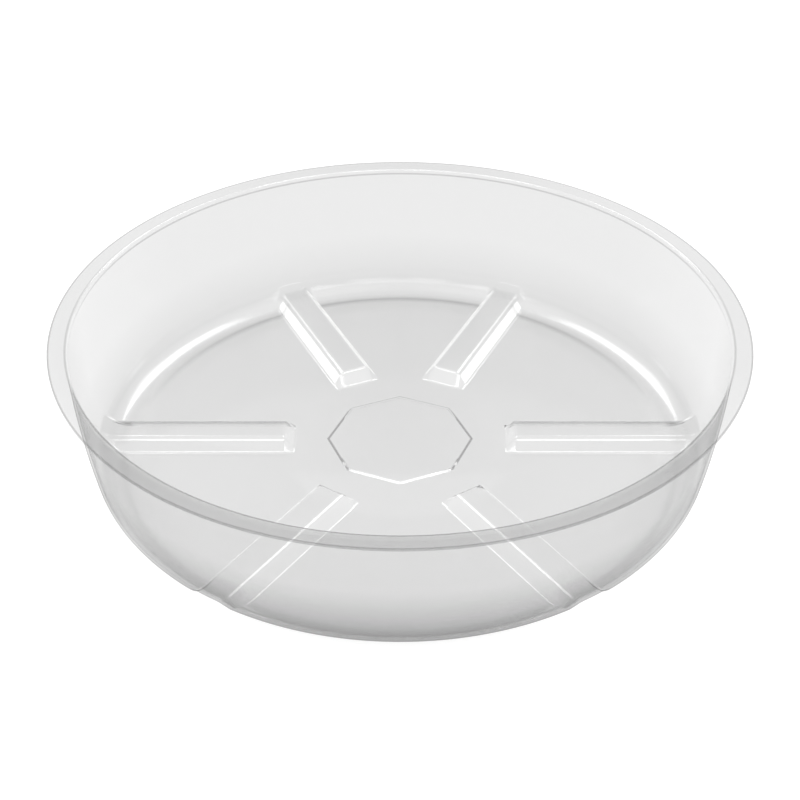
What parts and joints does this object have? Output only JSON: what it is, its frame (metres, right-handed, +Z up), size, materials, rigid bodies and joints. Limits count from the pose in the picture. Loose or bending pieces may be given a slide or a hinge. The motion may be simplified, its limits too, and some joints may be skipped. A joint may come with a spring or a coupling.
{
  "type": "plant saucer",
  "caption": "Round clear plastic saucer that catches water under a plant pot, with a flat rim, low ribs standing on its floor and an octagonal pad in the middle.",
  "frame": {"origin": "on the bowl's axis, in the plane of the floor's underside, which rests on the table", "axes": "+Z up out of the bowl's mouth, +X along the right-hand side rib, -Y towards the front pair of ribs"},
  "size_m": [0.254, 0.254, 0.056],
  "materials": {
    "clear_sheet": "clear, glossy, vacuum-formed"
  },
  "bodies": {
    "root": {"saucer": "clear_sheet"}
  },
  "joints": []
}
